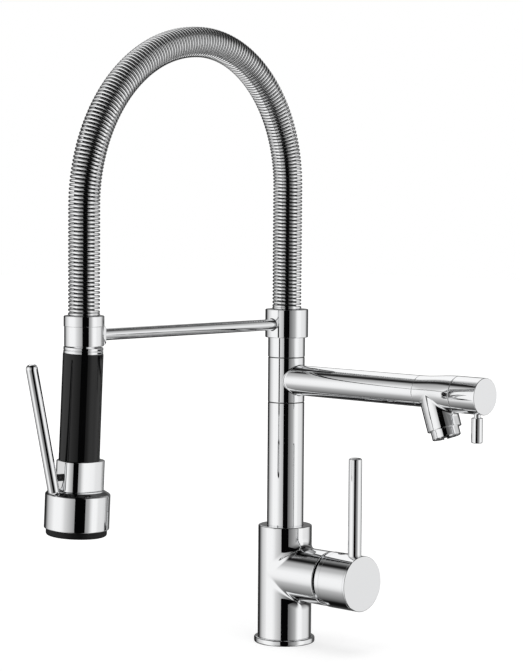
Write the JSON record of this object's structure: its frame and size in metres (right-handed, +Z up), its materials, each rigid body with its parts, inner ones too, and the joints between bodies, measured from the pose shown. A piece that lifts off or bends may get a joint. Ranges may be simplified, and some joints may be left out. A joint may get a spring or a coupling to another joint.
{
  "type": "kitchen mixer tap",
  "caption": "Deck-mounted kitchen mixer tap with a spring arch, a hanging pull-down spray with a squeeze lever, a side lever and a swivelling side spout with its own shut-off knob.",
  "frame": {"origin": "centre of the base's lower face, on the sink deck", "axes": "+Z up along the column; +X along the mixer handle's axis and the side spout; -Y along the docking arm, from the column to the hanging spray"},
  "size_m": [0.2403, 0.3033, 0.5077],
  "materials": {
    "chrome": "polished",
    "inner_brass": "turned",
    "inner_steel": "turned",
    "spring_steel": "polished",
    "grip_black": "glossy",
    "seal_rubber": "matte",
    "rim_rubber": "matte",
    "hose_rubber": "matte",
    "core_plastic": "matte",
    "dark_plastic": "matte",
    "ceramic": "lapped"
  },
  "bodies": {
    "base": {"base_ring": "chrome", "deck_seal": "seal_rubber", "tap_body": "chrome", "side_branch": "chrome", "mixer_cartridge": "core_plastic", "fixed_disc": "ceramic", "cartridge_nut": "inner_brass", "dome_cover": "chrome", "riser_tube": "chrome", "glide_ring": "dark_plastic", "journal_seals": "seal_rubber", "column_nut": "inner_brass"},
    "mixer_stem": {"moving_disc": "ceramic", "cartridge_carrier": "core_plastic", "tilt_pin": "inner_steel"},
    "mixer_handle": {"cartridge_post": "inner_steel", "handle_cap": "chrome", "handle_lever": "chrome", "handle_grub_screw": "inner_steel", "index_plug": "dark_plastic"},
    "side_spout": {"swivel_ring": "chrome", "spout_tube": "chrome", "valve_body": "chrome", "headwork": "inner_brass", "aerator_shell": "chrome", "aerator_screen": "dark_plastic", "upper_glide_ring": "dark_plastic"},
    "filler": {"headwork_spindle": "inner_brass", "filler_knob": "chrome", "filler_rod": "chrome"},
    "arch": {"upper_sleeve": "chrome", "holder_collar": "chrome", "hose_union": "inner_brass", "union_seal": "seal_rubber", "arch_hose": "hose_rubber", "guide_tube": "hose_rubber", "arch_spring": "spring_steel", "holder_arm": "chrome", "docking_sleeve": "chrome", "spring_ferrule": "chrome"},
    "pull_hose": {"sliding_hose": "hose_rubber", "hose_ball": "inner_brass"},
    "spray": {"neck_nut": "chrome", "neck_ring": "chrome", "grip_core": "core_plastic", "spray_grip": "grip_black", "spray_body": "chrome", "valve_plug": "chrome", "return_spring": "inner_steel", "spray_bell": "chrome", "lever_pin": "inner_steel", "spray_face": "dark_plastic", "rubber_rim": "rim_rubber"},
    "trigger": {"spray_lever": "chrome"},
    "plunger": {"valve_button": "seal_rubber"}
  },
  "joints": [
    {"name": "arch_swivel", "type": "hinge", "parent": "base", "child": "arch", "pos_m": [0, 0, 0.26], "axis": [0, 0, 1], "range_deg": [-120, 30]},
    {"name": "spout_swivel", "type": "hinge", "parent": "base", "child": "side_spout", "pos_m": [0, 0, 0.2212], "axis": [0, 0, 1], "range_deg": [-30, 120]},
    {"name": "filler_turn", "type": "hinge", "parent": "side_spout", "child": "filler", "pos_m": [0.19, 0, 0.2212], "axis": [1, 0, 0], "range_deg": [0, 90]},
    {"name": "mixer_temperature", "type": "hinge", "parent": "base", "child": "mixer_stem", "pos_m": [0.042, 0, 0.0594], "axis": [1, 0, 0], "range_deg": [-45, 45]},
    {"name": "mixer_flow", "type": "hinge", "parent": "mixer_stem", "child": "mixer_handle", "pos_m": [0.042, 0, 0.0594], "axis": [0, 1, 0], "range_deg": [0, 12]},
    {"name": "spray_pull", "type": "slide", "parent": "arch", "child": "pull_hose", "axis": [0, 0, -1], "range_m": [0, 0.08]},
    {"name": "spray_turn", "type": "hinge", "parent": "pull_hose", "child": "spray", "pos_m": [0, -0.226, 0.2696], "axis": [0.0396, 0.0136, 0.9991], "continuous": true},
    {"name": "spray_trigger", "type": "hinge", "parent": "spray", "child": "trigger", "pos_m": [-0.00707, -0.24853, 0.14288], "axis": [-0.9945, 0.0978, 0.0381], "range_deg": [0, 8], "stiffness_Nm_per_rad": 0.6, "springref_deg": -5.73},
    {"name": "valve_push", "type": "slide", "parent": "spray", "child": "plunger", "axis": [0.0972, 0.9951, -0.0174], "range_m": [0, 0.00243]}
  ],
  "couplings": [
    {"joint": "valve_push", "follows": "spray_trigger", "m_per_rad": 0.0173}
  ]
}
